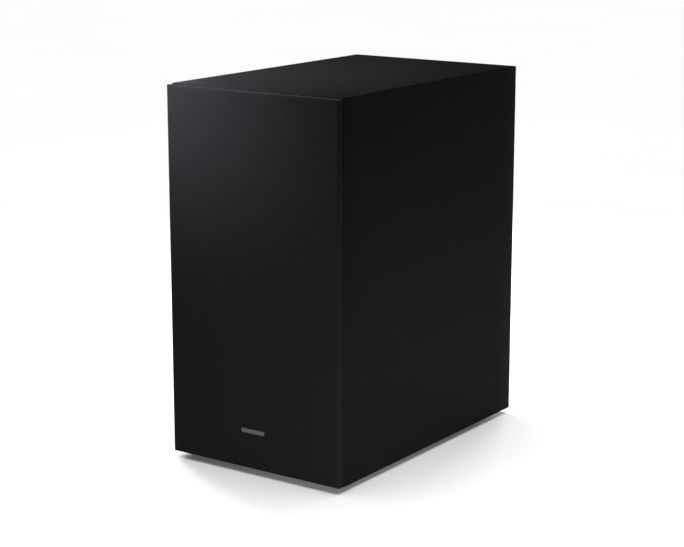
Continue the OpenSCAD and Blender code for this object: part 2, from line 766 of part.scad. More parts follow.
module amp_panel_screws() {
    color([0.1, 0.1, 0.1]) at_panel_screws(panel_out_y)
        pan_screw(2.2, screw_r, amp_t + gasket_t + back_t - 2);
}

// Two-pin mains inlet: a housing with an oblong socket
module power_inlet() {
    color([0.05, 0.05, 0.05]) on_panel(inlet_at, board_out_y) difference() {
        linear_extrude(panel_out_y - board_out_y) rounded_rect(inlet_size[0], inlet_size[1], 1.5);
        translate([0, 0, panel_out_y - board_out_y - inlet_depth])
            linear_extrude(inlet_depth + overrun)
                rounded_rect(inlet_slot[0], inlet_slot[1], inlet_slot[1] / 2 - 0.05);
        for (s = [-1, 1]) translate([s * inlet_pin_pitch / 2, 0, -overrun]) cylinder(r = 1.2, h = 30);
    }
}

module inlet_pins() {
    color([0.8, 0.78, 0.7]) for (s = [-1, 1])
        on_panel([inlet_at[0] + s * inlet_pin_pitch / 2, inlet_at[1]], board_out_y) {
            cylinder(r = 1.2, h = panel_out_y - board_out_y - 4);
            translate([0, 0, panel_out_y - board_out_y - 4.01]) cylinder(r1 = 1.2, r2 = 0.7, h = 1);
        }
}

module amp_board() {
    color([0.06, 0.22, 0.13]) difference() {
        block(0, amp_z, board_w, board_h, board_in_y, board_out_y);
        at_posts(board_in_y - overrun) cylinder(r = 1.25 + fit_gap, h = 5);
    }
}

module board_screws() {
    color([0.7, 0.7, 0.72]) for (x = [-1, 1], z = [-1, 1])
        facing_front(x * post_x, board_in_y, amp_z + z * post_z) pan_screw(2.6, 1.25, 8);
}

// Block on the inner face of the circuit board, rising by h from gap
module on_board(at, w, d, gap, h) block(at[0], amp_z + at[1], w, d, board_in_y - gap - h, board_in_y - gap);

// Two E-shaped ferrites that close around the winding; gap enlarges them to cut the winding free
module core_shape(gap) {
    leg = 5.8;
    slot_w = (core_w - 4 * leg) / 2;
    difference() {
        on_board(transformer_at, core_w + 2 * gap, core_d + 2 * gap, core_rise - gap, core_h + 2 * gap);
        for (s = [-1, 1]) on_board(transformer_at + [s * (leg + slot_w / 2), 0],
            slot_w - 2 * gap, core_d + 4, core_rise + leg / 2 + gap, core_h - leg - 2 * gap);
    }
}

module transformer_core() color([0.2, 0.2, 0.21]) core_shape(0);

// Wound bobbin on its pin base
module transformer_winding() {
    base_h = core_rise - 0.2;
    coil_w = core_w - 7;
    color([0.85, 0.7, 0.2]) difference() {
        union() {
            on_board(transformer_at, coil_w, core_d + 10, 0, core_rise + core_h - 3);
            on_board(transformer_at, core_w - 2, core_d + 12, 0, base_h);
        }
        core_shape(0.15);
    }
}

module bulk_capacitors() {
    color([0.1, 0.12, 0.2]) for (c = capacitors)
        facing_front(c[0], board_in_y, amp_z + c[1]) difference() {
            cylinder(r = c[2], h = c[3]);
            ring(c[2] + overrun, c[2] - 0.6, 2.5, 3.7);
            for (a = [0, 90])
                rotate(a) translate([-c[2] * 0.7, -0.3, c[3] - 0.4]) cube([c[2] * 1.4, 0.6, overrun]);
        }
}

module output_inductors() {
    color([0.25, 0.25, 0.27]) for (z = [18, 33]) {
        on_board([34, z], 12, 12, 0, 8);
        facing_front(34, board_in_y - 8 + 0.01, amp_z + z) cylinder(r = 4.4, h = 1);
    }
}

module heatsink() {
    fins = 9;
    pitch = 6;
    color([0.62, 0.63, 0.65]) {
        on_board([0, 27], 52, 24, 2.1, 3);
        for (i = [0 : fins - 1]) on_board([(i - (fins - 1) / 2) * pitch, 27], 1.4, 24, 5, 14);
    }
}

module amp_chip() color([0.08, 0.08, 0.08]) on_board([0, 27], 14, 14, 0, 2.1);

module speaker_socket() {
    color([0.9, 0.88, 0.8]) difference() {
        on_board(socket_at, 9, 7, 0, 9);
        on_board(socket_at, 7, 5, 1.5, 9);
    }
}

module speaker_plug() {
    color([0.92, 0.9, 0.84]) {
        on_board(socket_at, 6.8, 4.8, 1.6, 12);
        on_board(socket_at, 8, 6, 9.2, plug_h - 9.2);
    }
}

// Two wires side by side that part at the end to reach a tab each
module speaker_cable() {
    start_y = board_in_y - plug_h;
    end_y = baffle_y + terminal_a + strip_t + tab_t + wire_r + fit_gap;
    path = smooth([for (q = cable_route) [q[0], start_y + (end_y - start_y) * q[1], q[2] + floor_z]], 3);
    last = len(path) - 1;
    parting = 12;    // number of path points over which the wires part
    color([0.1, 0.1, 0.1]) for (s = [-1, 1]) tube([for (i = [0 : last])
        let (part = max(0, 1 - (last - i) / parting))
        path[i] + [s * (wire_pitch + (tab_pitch - wire_pitch) * part * part * (3 - 2 * part)) / 2, 0, 0]
    ], wire_r, [1, 0, 0.15]);
}

module wireless_board() {
    color([0.05, 0.12, 0.28]) {
        on_board([-38, 22], 18, 28, 4, 1);
        on_board([-38, 10.5], 14, 2.5, 0, 4);
    }
}

module shield_can() color([0.75, 0.75, 0.76]) on_board([-38, 25], 15, 18, 5, 2.4);

module button_switch() {
    color([0.15, 0.15, 0.15]) on_panel(button_at, board_out_y) {
        translate([-3, -3, 0]) cube([6, 6, switch_h - 0.5]);
        cylinder(r = 1.7, h = switch_h);
    }
}

// Button cap with a flange behind the panel and a stem that reaches for the switch
module id_button() {
    out = panel_out_y - panel_in_y - 0.3;
    stem_end = board_out_y + switch_h + button_travel + 0.2 - panel_in_y;
    color([0.12, 0.12, 0.12]) on_panel(button_at, panel_in_y) {
        translate([0, 0, -0.2]) cylinder(r = button_r, h = out + 0.2);
        translate([0, 0, -0.1 - button_flange_t]) cylinder(r = button_r + 1.1, h = button_flange_t);
        translate([0, 0, stem_end]) cylinder(r = 1.4, h = -stem_end - 0.1);
    }
}

module link_led() {
    color([0.85, 0.88, 0.95]) on_panel(led_at, board_out_y) {
        cylinder(r = 2.4, h = 4);
        cylinder(r = 1.5, h = panel_out_y - board_out_y);
        translate([0, 0, panel_out_y - board_out_y]) intersection() {
            translate([0, 0, -1.7]) sphere(r = 2.267);
            cylinder(r = 3, h = 3);
        }
    }
}

module service_port() {
    reach = panel_out_y - board_out_y - 0.2;
    color([0.7, 0.7, 0.72]) on_panel(service_at, board_out_y) difference() {
        linear_extrude(reach) rounded_rect(8, 3.4, 0.8);
        translate([0, 0, reach - 6]) linear_extrude(7) rounded_rect(7, 2.4, 0.5);
    }
}

// ---------- nodes ----------

for (i = [0 : 3]) board(i);
front_baffle();
back_board();
damping_wadding();
for (i = [0 : 3]) foot(i);
foot_screws();
grille_frame();
grille_cloth();
grille_badge();
grille_pegs();
grille_grommets();
woofer_basket();
woofer_gasket();
surround_clamp_ring();
woofer_screws();
top_plate();
magnet_ring();
pole_yoke();
terminal_strip();
tinsel_leads();
surround();
spider();
cone();
dust_cap();
voice_coil_former();
voice_coil_winding();
port_tube();
port_screws();
amp_panel();
amp_gasket();
amp_panel_screws();
power_inlet();
inlet_pins();
amp_board();
board_screws();
transformer_core();
transformer_winding();
bulk_capacitors();
output_inductors();
heatsink();
amp_chip();
speaker_socket();
speaker_plug();
speaker_cable();
wireless_board();
shield_can();
button_switch();
id_button();
link_led();
service_port();
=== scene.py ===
import json
import math
import bmesh
import bpy
import numpy as np
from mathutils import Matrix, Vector


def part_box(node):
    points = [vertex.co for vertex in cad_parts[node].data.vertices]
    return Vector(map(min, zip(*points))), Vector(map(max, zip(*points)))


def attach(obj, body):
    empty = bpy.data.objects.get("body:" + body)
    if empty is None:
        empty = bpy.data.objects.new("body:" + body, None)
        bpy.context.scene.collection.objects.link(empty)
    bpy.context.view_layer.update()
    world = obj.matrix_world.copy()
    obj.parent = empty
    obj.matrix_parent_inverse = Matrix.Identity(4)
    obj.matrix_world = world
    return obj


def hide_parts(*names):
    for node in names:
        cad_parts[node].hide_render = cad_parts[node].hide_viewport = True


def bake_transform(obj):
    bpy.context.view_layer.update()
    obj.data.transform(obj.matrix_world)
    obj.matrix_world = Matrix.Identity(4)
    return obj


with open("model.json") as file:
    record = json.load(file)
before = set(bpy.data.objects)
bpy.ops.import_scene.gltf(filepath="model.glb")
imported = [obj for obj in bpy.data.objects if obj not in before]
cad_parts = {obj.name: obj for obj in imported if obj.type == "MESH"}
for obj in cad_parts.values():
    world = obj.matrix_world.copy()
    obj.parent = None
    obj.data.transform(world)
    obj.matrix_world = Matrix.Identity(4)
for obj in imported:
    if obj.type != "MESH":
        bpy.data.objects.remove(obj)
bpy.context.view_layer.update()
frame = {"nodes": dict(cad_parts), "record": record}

bodyOf = {node: body for body, nodes in frame["record"]["behaviour"]["bodies"].items() for node in nodes}
mm = 0.001

# camera: azimuth and elevation in degrees, place in metres, lens in mm on a 36 mm sensor
cameraView = {"azimuth": 34.94, "elevation": 12.97, "place": (0.9400, -1.3551, 0.5366),
              "lens": 95.3, "sensor": 36}

cameraData = bpy.data.cameras.new("productCamera")
cameraData.lens = cameraView["lens"]
cameraData.sensor_width = cameraView["sensor"]
camera = bpy.data.objects.new("productCamera", cameraData)
bpy.context.scene.collection.objects.link(camera)
bpy.context.scene.camera = camera
around = math.radians(cameraView["azimuth"])
above = math.radians(cameraView["elevation"])
backwards = Vector((math.sin(around) * math.cos(above), -math.cos(around) * math.cos(above),
                    math.sin(above)))
camera.location = cameraView["place"]
camera.rotation_mode = "QUATERNION"
camera.rotation_quaternion = (-backwards).to_track_quat("-Z", "Y")
print("camera set")


def toLinear(hexColour):
    # sRGB to linear: c / 12.92 up to 0.04045, ((c + 0.055) / 1.055) ^ 2.4 above it
    parts = [int(hexColour[i:i + 2], 16) / 255 for i in (1, 3, 5)]
    return tuple(c / 12.92 if c <= 0.04045 else ((c + 0.055) / 1.055) ** 2.4 for c in parts) + (1.0,)


def addNode(tree, kind, settings=None, values=None, links=None):
    node = tree.nodes.new(kind)
    for name, value in (settings or {}).items():
        setattr(node, name, value)
    for name, value in (values or {}).items():
        node.inputs[name].default_value = value
    for name, source in (links or {}).items():
        tree.links.new(source, node.inputs[name])
    return node


def newFinish(name, **shaderValues):
    # an empty material with its shader joined to its output, and the object's own coordinates
    material = bpy.data.materials.new(name)
    material.use_nodes = True
    tree = material.node_tree
    tree.nodes.clear()
    shader = addNode(tree, "ShaderNodeBsdfPrincipled", values=shaderValues)
    addNode(tree, "ShaderNodeOutputMaterial", links={"Surface": shader.outputs["BSDF"]})
    where = addNode(tree, "ShaderNodeTexCoord")
    return material, tree, shader, where


def dressShader(tree, shader, dark, light, share, rough, roughBy, roughSpan, height, depth):
    # colour runs from dark to light by share and roughness over its span by roughBy, and relief is depth tall;
    # sockets 6 and 7 of a colour mix are its two colours and output 2 its result
    colour = addNode(tree, "ShaderNodeMix", {"data_type": "RGBA"}, {6: toLinear(dark), 7: toLinear(light)},
                     {0: share})
    ends = {"From Min": roughSpan[0], "From Max": roughSpan[1], "To Min": rough[0], "To Max": rough[1]}
    roughness = addNode(tree, "ShaderNodeMapRange", values=ends, links={"Value": roughBy})
    bump = addNode(tree, "ShaderNodeBump", values={"Strength": 1.0, "Distance": depth},
                   links={"Height": height})
    tree.links.new(colour.outputs[2], shader.inputs["Base Color"])
    tree.links.new(roughness.outputs[0], shader.inputs["Roughness"])
    tree.links.new(bump.outputs["Normal"], shader.inputs["Normal"])


# how much a speck adds to the colour's drift, and the clouds' span that the roughness follows
grainMix = {"speck": 0.6, "cloudSpan": (0.3, 0.7), "cloudDetail": 2.0}


def grainFinish(name, dark, light, grain, depth, rough, patch=0.03, stretch=(1, 1, 1), detail=3.0,
                **shaderValues):
    # colour and roughness drift with clouds of the patch size, and a fine grain stands on the surface
    material, tree, shader, where = newFinish(name, **shaderValues)
    turned = addNode(tree, "ShaderNodeMapping", values={"Scale": stretch},
                     links={"Vector": where.outputs["Object"]})
    clouds = addNode(tree, "ShaderNodeTexNoise",
                     values={"Scale": 1 / patch, "Detail": grainMix["cloudDetail"]},
                     links={"Vector": where.outputs["Object"]})
    fine = addNode(tree, "ShaderNodeTexNoise", values={"Scale": 1 / grain, "Detail": detail},
                   links={"Vector": turned.outputs["Vector"]})
    # speck = (fine - 0.5) * share of the speck, so that it lightens as much as it darkens
    speck = addNode(tree, "ShaderNodeMath", {"operation": "MULTIPLY_ADD"},
                    {1: grainMix["speck"], 2: -grainMix["speck"] / 2}, {0: fine.outputs["Fac"]})
    share = addNode(tree, "ShaderNodeMath", {"operation": "ADD", "use_clamp": True},
                    links={0: clouds.outputs["Fac"], 1: speck.outputs[0]})
    dressShader(tree, shader, dark, light, share.outputs[0], rough, clouds.outputs["Fac"],
                grainMix["cloudSpan"], fine.outputs["Fac"], depth)
    return material


# unevenness of the threads: its size, its share of the height, and the height's span that the colour follows
weaveMix = {"slubSize": 4 * mm, "slubDetail": 2.0, "slub": 0.5, "heightSpan": (0.2, 1.3)}


def weaveFinish(name, dark, light, pitch, depth, rough, **shaderValues):
    # plain weave on the piece's own UV map in metres: height = sin(2 pi u / pitch) * sin(2 pi v / pitch)
    material, tree, shader, where = newFinish(name, **shaderValues)
    scaled = addNode(tree, "ShaderNodeMapping", values={"Scale": (2 * math.pi / pitch,) * 3},
                     links={"Vector": where.outputs["UV"]})
    wander = addNode(tree, "ShaderNodeTexNoise",
                     values={"Scale": 1 / weaveMix["slubSize"], "Detail": weaveMix["slubDetail"]},
                     links={"Vector": where.outputs["Object"]})
    split = addNode(tree, "ShaderNodeSeparateXYZ", links={0: scaled.outputs["Vector"]})
    across = addNode(tree, "ShaderNodeMath", {"operation": "SINE"}, links={0: split.outputs["X"]})
    along = addNode(tree, "ShaderNodeMath", {"operation": "SINE"}, links={0: split.outputs["Y"]})
    crossing = addNode(tree, "ShaderNodeMath", {"operation": "MULTIPLY"},
                       links={0: across.outputs[0], 1: along.outputs[0]})
    height = addNode(tree, "ShaderNodeMapRange", values={"From Min": -1.0, "From Max": 1.0},
                     links={"Value": crossing.outputs[0]})
    slub = addNode(tree, "ShaderNodeMath", {"operation": "MULTIPLY_ADD"}, {1: weaveMix["slub"]},
                   {0: wander.outputs["Fac"], 2: height.outputs[0]})
    low, high = weaveMix["heightSpan"]
    share = addNode(tree, "ShaderNodeMapRange", values={"From Min": low, "From Max": high},
                    links={"Value": slub.outputs[0]})
    dressShader(tree, shader, dark, light, share.outputs[0], rough, share.outputs[0], (0.0, 1.0),
                slub.outputs[0], depth)
    return material


# tarnish over the grooves: its size, the wave's share of the colour, and the span that the colour follows
ringMix = {"cloudSize": 6 * mm, "cloudDetail": 3.0, "wave": 0.35, "sumSpan": (0.1, 0.9)}


def ringFinish(name, dark, light, pitch, depth, rough, direction, **shaderValues):
    # grooves a pitch apart along one direction, as on wound wire: height = sin(2 pi s / pitch)
    material, tree, shader, where = newFinish(name, **shaderValues)
    placed = addNode(tree, "ShaderNodeVectorMath", {"operation": "DOT_PRODUCT"},
                     {1: tuple(2 * math.pi / pitch * d for d in direction)}, {0: where.outputs["Object"]})
    wave = addNode(tree, "ShaderNodeMath", {"operation": "SINE"}, links={0: placed.outputs["Value"]})
    clouds = addNode(tree, "ShaderNodeTexNoise",
                     values={"Scale": 1 / ringMix["cloudSize"], "Detail": ringMix["cloudDetail"]},
                     links={"Vector": where.outputs["Object"]})
    mixed = addNode(tree, "ShaderNodeMath", {"operation": "MULTIPLY_ADD"}, {1: ringMix["wave"]},
                    {0: wave.outputs[0], 2: clouds.outputs["Fac"]})
    low, high = ringMix["sumSpan"]
    share = addNode(tree, "ShaderNodeMapRange", values={"From Min": low, "From Max": high},
                    links={"Value": mixed.outputs[0]})
    # crests are rubbed smoother than the grooves between them
    dressShader(tree, shader, dark, light, share.outputs[0], rough[::-1], share.outputs[0], (0.0, 1.0),
                wave.outputs[0], depth)
    return material


# each finish: name, dark and light colour, pattern size, relief, and the two ends of its roughness
finishes = {
    # satin black PVC film over fibreboard: an even, soft gloss over a shallow pebbled grain,
    # whose pebbles are drawn 1.2 mm wide, coarser than the real film's, so that they show
    "vinylWrap": grainFinish("vinylWrap", "#0a0a0a", "#0d0d0d", 1.2 * mm, 0.02 * mm, (0.39, 0.41),
                             **{"Specular IOR Level": 0.008}),
    # knitted polyester cloth: dull, with the pits darker than the threads. The knit is drawn 1.8 mm
    # apart, about three times as coarse as the real one, so that it shows
    "grilleKnit": weaveFinish("grilleKnit", "#080808", "#161616", 1.8 * mm, 0.15 * mm, (0.9, 0.75),
                              **{"Specular IOR Level": 0.02, "Sheen Weight": 0.006, "Sheen Roughness": 0.4}),
    # dark anodised aluminium of the badge: grey metal with fine lines that spread the light
    "satinAluminium": grainFinish("satinAluminium", "#46474a", "#595a5d", 0.25 * mm, 0.004 * mm, (0.34, 0.44),
                                  stretch=(0.06, 1, 1), Metallic=1.0),
    # extruded aluminium of the heatsink: bright grey metal with die lines along its fins
    "extrudedAluminium": grainFinish("extrudedAluminium", "#8d8f92", "#a9abae", 0.4 * mm, 0.006 * mm,
                                     (0.32, 0.45), stretch=(1, 1, 0.06), Metallic=1.0),
    # spark-eroded moulded ABS: a dry, fine, even grain
    "mouldedAbs": grainFinish("mouldedAbs", "#0d0d0e", "#131314", 0.35 * mm, 0.02 * mm, (0.52, 0.62),
                              **{"Specular IOR Level": 0.35}),
    # black painted fibreboard: dull paint that has sunk a little into the fibres
    "paintedBoard": grainFinish("paintedBoard", "#0e0e0e", "#151515", 0.9 * mm, 0.03 * mm, (0.66, 0.78),
                                stretch=(1, 1, 0.35), **{"Specular IOR Level": 0.3}),
    # butyl rubber: soft dark gloss
    "butylRubber": grainFinish("butylRubber", "#0b0b0b", "#101010", 0.5 * mm, 0.006 * mm, (0.42, 0.52),
                               **{"Specular IOR Level": 0.35}),
    # moulded foot rubber: chalky and dull
    "footRubber": grainFinish("footRubber", "#0c0c0c", "#161616", 0.4 * mm, 0.03 * mm, (0.78, 0.9),
                              **{"Specular IOR Level": 0.25}),
    # zinc plated steel: grey metal with a faint yellow cloud
    "zincSteel": grainFinish("zincSteel", "#9a9b9e", "#b6b5ae", 0.6 * mm, 0.004 * mm, (0.28, 0.42),
                             Metallic=1.0),
    # blackened steel screws: dark metal, oily
    "blackenedSteel": grainFinish("blackenedSteel", "#1a1a1b", "#242424", 0.3 * mm, 0.004 * mm, (0.35, 0.5),
                                  Metallic=1.0),
    # powder-coated steel sheet: a slight orange peel
    "powderCoat": grainFinish("powderCoat", "#0f0f10", "#161617", 1.6 * mm, 0.03 * mm, (0.42, 0.52)),
    # sintered ferrite: dark grey ceramic with tiny pits
    "sinteredFerrite": grainFinish("sinteredFerrite", "#2a2a2c", "#38383b", 0.5 * mm, 0.03 * mm, (0.6, 0.75)),
    # pressed paper pulp, dyed and coated: short fibres show in the dull surface
    "pulpPaper": grainFinish("pulpPaper", "#0d0d0e", "#1a1a1c", 1.4 * mm, 0.07 * mm, (0.6, 0.78),
                             patch=0.012, detail=8.0, **{"Specular IOR Level": 0.35}),
    # phenolic paper laminate: brown and slightly glossy
    "phenolicPaper": grainFinish("phenolicPaper", "#6d4423", "#8a5a30", 0.5 * mm, 0.01 * mm, (0.4, 0.5)),
    # braided copper tinsel: bright strands laid slantwise
    "copperBraid": ringFinish("copperBraid", "#a5683f", "#d7986a", 0.8 * mm, 0.05 * mm, (0.3, 0.45),
                              (0.7, 0.5, 0.5), Metallic=1.0),
    # enamelled copper wire wound side by side: warm ridges along the coil's axis
    "copperCoil": ringFinish("copperCoil", "#8c4a24", "#c77a45", 0.4 * mm, 0.05 * mm, (0.25, 0.4),
                             (0, 1, 0), Metallic=1.0),
    # amber film of the coil former: thin, smooth and warm
    "amberFilm": grainFinish("amberFilm", "#9a6a1e", "#b98631", 3 * mm, 0.005 * mm, (0.25, 0.35)),
    # cotton cloth stiffened with amber resin: a dull weave, shiny where the resin fills it
    "resinCotton": weaveFinish("resinCotton", "#8a6726", "#c79d52", 0.9 * mm, 0.06 * mm, (0.6, 0.75)),
    # natural nylon: off-white and waxy
    "naturalNylon": grainFinish("naturalNylon", "#cfc9b8", "#ddd8ca", 2 * mm, 0.006 * mm, (0.35, 0.45)),
    # carded polyester wadding: white fibres, no gloss
    "polyesterWadding": grainFinish("polyesterWadding", "#c9c8c2", "#efeeea", 1.2 * mm, 0.5 * mm, (0.9, 1.0),
                                    patch=0.015, detail=8.0,
                                    **{"Specular IOR Level": 0.1, "Sheen Weight": 0.3}),
    # closed cell foam strip: black, dull and finely pitted
    "cellFoam": grainFinish("cellFoam", "#101010", "#1c1c1c", 0.6 * mm, 0.12 * mm, (0.85, 0.95),
                            **{"Specular IOR Level": 0.2}),
    # green solder mask: a glossy lacquer, darker where copper lies under it
    "greenMask": grainFinish("greenMask", "#0c3a1f", "#1a5a33", 0.8 * mm, 0.015 * mm, (0.25, 0.4),
                             patch=0.004),
    # blue solder mask of the radio board: the same lacquer in blue
    "blueMask": grainFinish("blueMask", "#0c2145", "#17386b", 0.8 * mm, 0.015 * mm, (0.25, 0.4),
                            patch=0.003),
    # polyester tape round the transformer: yellow and shiny, in laps 6 mm apart
    "yellowTape": ringFinish("yellowTape", "#b98a12", "#e0b42c", 6 * mm, 0.03 * mm, (0.2, 0.35), (0, 1, 0)),
    # shrunk sleeve of the capacitors: dark blue and shiny
    "shrinkSleeve": grainFinish("shrinkSleeve", "#0c1022", "#151b33", 1.5 * mm, 0.01 * mm, (0.22, 0.35)),
    # epoxy moulding of a chip: dull dark grey
    "mouldedEpoxy": grainFinish("mouldedEpoxy", "#1a1a1b", "#242425", 0.2 * mm, 0.01 * mm, (0.55, 0.7)),
    # tinned sheet and pins: pale bright metal
    "tinnedMetal": grainFinish("tinnedMetal", "#b3b2ad", "#c9c8c3", 0.8 * mm, 0.004 * mm, (0.2, 0.34),
                               Metallic=1.0),
    # PVC wire covers: smooth, with a soft gloss
    "redPvc": grainFinish("redPvc", "#7d1310", "#96201b", 1.0 * mm, 0.01 * mm, (0.38, 0.48)),
    "blackPvc": grainFinish("blackPvc", "#101010", "#181818", 1.0 * mm, 0.01 * mm, (0.38, 0.48)),
    # clear lens of the link lamp: a cool, slightly milky plastic
    "lampLens": grainFinish("lampLens", "#b9c6d6", "#d7e2ee", 1.5 * mm, 0.004 * mm, (0.1, 0.18),
                            **{"Transmission Weight": 0.6, "IOR": 1.49}),
}
print("finishes made:", len(finishes))


def finishMesh(name, mesh, finish, body, replaced, sharp=35):
    # shades the mesh, gives it its finish and lets it ride on its body in place of the CAD nodes
    mesh.materials.clear()
    mesh.materials.append(finishes[finish])
    mesh.shade_smooth()
    mesh.set_sharp_from_angle(angle=math.radians(sharp))
    piece = bpy.data.objects.new(name, mesh)
    bpy.context.scene.collection.objects.link(piece)
    if body:
        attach(piece, body)
    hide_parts(*replaced)
    return piece


# distances under which points are one point, in metres
weld = {"grid": 2e-6, "cad": 1e-6, "sliver": 1e-6, "cadSliver": 1e-7}


def gridMesh(name, points, closedRows=False, closedColumns=False, uv=None):
    # points is a rows x columns x 3 array; neighbours are joined by quads, and poles and seams are merged
    rows, columns = points.shape[:2]
    index = np.arange(rows * columns).reshape(rows, columns)
    down = np.roll(index, -1, 0) if closedRows else index[1:]
    here = index if closedRows else index[:-1]
    if closedColumns:
        quads = np.stack([here, np.roll(here, -1, 1), np.roll(down, -1, 1), down], -1)
    else:
        quads = np.stack([here[:, :-1], here[:, 1:], down[:, 1:], down[:, :-1]], -1)
    mesh = bpy.data.meshes.new(name)
    mesh.from_pydata(points.reshape(-1, 3).tolist(), [], quads.reshape(-1, 4).tolist())
    if uv is not None:
        layer = mesh.uv_layers.new(name="UVMap")
        layer.data.foreach_set("uv", uv.reshape(-1, 2)[quads.reshape(-1)].astype(np.float32).ravel())
    work = bmesh.new()
    work.from_mesh(mesh)
    bmesh.ops.remove_doubles(work, verts=work.verts, dist=weld["grid"])
    bmesh.ops.dissolve_degenerate(work, dist=weld["sliver"], edges=work.edges)
    bmesh.ops.recalc_face_normals(work, faces=work.faces)
    work.to_mesh(mesh)
    work.free()
    return mesh


def vertexPlaces(mesh):
    places = np.zeros(len(mesh.vertices) * 3)
    mesh.vertices.foreach_get("co", places)
    return places.reshape(-1, 3)


def latheMesh(name, profile, centre, turns=128, closedProfile=True, flatUv=False):
    # the profile's (radius, place) pairs turned round the y axis: (r cos t, place, r sin t)
    turn = np.linspace(0, 2 * math.pi, turns, endpoint=False)
    radius = profile[:, :1]
    place = np.broadcast_to(profile[:, 1:], (len(profile), turns))
    points = np.stack([centre[0] + radius * np.cos(turn), centre[1] + place,
                       centre[2] + radius * np.sin(turn)], -1)
    mesh = gridMesh(name, points, closedRows=closedProfile, closedColumns=True)
    if flatUv:
        # cloth cut from one flat piece: u and v are x and z from the centre, in metres
        corners = np.zeros(len(mesh.loops), int)
        mesh.loops.foreach_get("vertex_index", corners)
        flat = (vertexPlaces(mesh) - np.array(centre))[corners][:, [0, 2]]
        layer = mesh.uv_layers.new(name="UVMap")
        layer.data.foreach_set("uv", flat.astype(np.float32).ravel())
    return mesh


# cabinet: four mitred boards, each a trapezoid carried from front to back with its end edges rounded
boards = {"endRound": 0.8 * mm, "edgeRound": 1.0 * mm, "leastRound": 0.05 * mm, "roundSteps": 6,
          "lengthSteps": 12}

leftLow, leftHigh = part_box("left_board")
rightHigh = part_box("right_board")[1]
topLow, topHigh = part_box("top_board")
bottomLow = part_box("bottom_board")[0]
boardThick = leftHigh.x - leftLow.x
halfWide = rightHigh.x
halfHigh = (topHigh.z - bottomLow.z) / 2
midHigh = (topHigh.z + bottomLow.z) / 2


def boardProfile(reachAcross, reachUp, inset):
    # outer line with its two eighth-circle corners, then the inner line back: the corners end on the mitres
    turn = np.radians(np.linspace(45, 90, boards["roundSteps"]))
    cornerRound = max(boards["edgeRound"] - inset, boards["leastRound"])
    centreAcross = reachAcross - inset - cornerRound
    centreUp = reachUp - inset - cornerRound
    right = np.stack([centreAcross + cornerRound * np.cos(turn), centreUp + cornerRound * np.sin(turn)], -1)
    outer = np.concatenate([right, (right * [-1, 1])[::-1]])
    innerAcross = reachAcross - boardThick + inset
    innerUp = reachUp - boardThick + inset
    across = np.clip(outer[:, 0] * innerAcross / abs(outer[0, 0]), -innerAcross, innerAcross)
    inner = np.stack([across, np.full(len(outer), innerUp)], -1)[::-1]
    return np.concatenate([outer, inner])


def boardMesh(name, side):
    # side 0 top, 1 left, 2 bottom, 3 right: the profile is turned by quarter turns and drawn in at both ends
    across, up = (halfWide, halfHigh) if side % 2 == 0 else (halfHigh, halfWide)
    bend = np.radians(np.linspace(0, 90, boards["roundSteps"]))
    roundOff = boards["endRound"]
    ends = [(topLow.y + roundOff * (1 - math.cos(b)), roundOff * (1 - math.sin(b))) for b in bend]
    tail = [(topHigh.y - roundOff * (1 - math.cos(b)), roundOff * (1 - math.sin(b))) for b in bend[::-1]]
    lengths = np.linspace(topLow.y + roundOff, topHigh.y - roundOff, boards["lengthSteps"])
    middle = [(y, 0.0) for y in lengths[1:-1]]
    # just short of half the thickness, where the outer and inner lines meet and close the end
    closing = boardThick / 2 - 1e-7
    levels = [(topLow.y, closing)] + ends + middle + tail + [(topHigh.y, closing)]
    turned = math.radians(90 * side)
    rings = []
    for place, inset in levels:
        flat = boardProfile(across, up, inset)
        x = flat[:, 0] * math.cos(turned) - flat[:, 1] * math.sin(turned)
        z = flat[:, 0] * math.sin(turned) + flat[:, 1] * math.cos(turned)
        rings.append(np.stack([x, np.full(len(flat), place), midHigh + z], -1))
    return gridMesh(name, np.array(rings), closedColumns=True)


for side, node in enumerate(("top_board", "left_board", "bottom_board", "right_board")):
    finishMesh(node + "Wrap", boardMesh(node, side), "vinylWrap", "cabinet", (node,), sharp=40)
print("cabinet boards made")


# grille cloth: one sheet over the frame's front and edges, turned in behind it
cloth = {"sideRound": 1.5 * mm, "topRound": 1.6 * mm, "turnIn": 6 * mm, "behind": 0.5 * mm,
         "thick": 0.55 * mm, "step": 4 * mm, "roundSteps": 9, "turnSteps": 4}

clothLow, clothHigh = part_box("grille_cloth")


def clothPath(half, front, back, edgeRound):
    # half a section: middle of the front, rounded edge, side, then inwards behind the frame; then mirrored
    flatSteps = int(half / cloth["step"])
    flat = np.stack([np.linspace(0, half - edgeRound, flatSteps), np.full(flatSteps, front)], -1)
    bend = np.radians(np.linspace(0, 90, cloth["roundSteps"]))[1:]
    corner = np.stack([half - edgeRound * (1 - np.sin(bend)), front + edgeRound * (1 - np.cos(bend))], -1)
    edge = np.stack([np.full(3, half), np.linspace(front + edgeRound, back, 5)[1:-1]], -1)
    turnSteps = cloth["turnSteps"]
    behind = np.stack([half - np.linspace(0, cloth["turnIn"], turnSteps), np.full(turnSteps, back)], -1)
    path = np.concatenate([flat, corner, edge, behind])
    return np.concatenate([(path * [-1, 1])[:0:-1], path])


def arcLength(path):
    return np.concatenate([[0], np.cumsum(np.linalg.norm(np.diff(path, axis=0), axis=1))])


clothBack = clothHigh.y + cloth["behind"]
clothMid = (clothHigh.z + clothLow.z) / 2
acrossPath = clothPath(clothHigh.x, clothLow.y, clothBack, cloth["sideRound"])
upPath = clothPath((clothHigh.z - clothLow.z) / 2, clothLow.y, clothBack, cloth["topRound"])
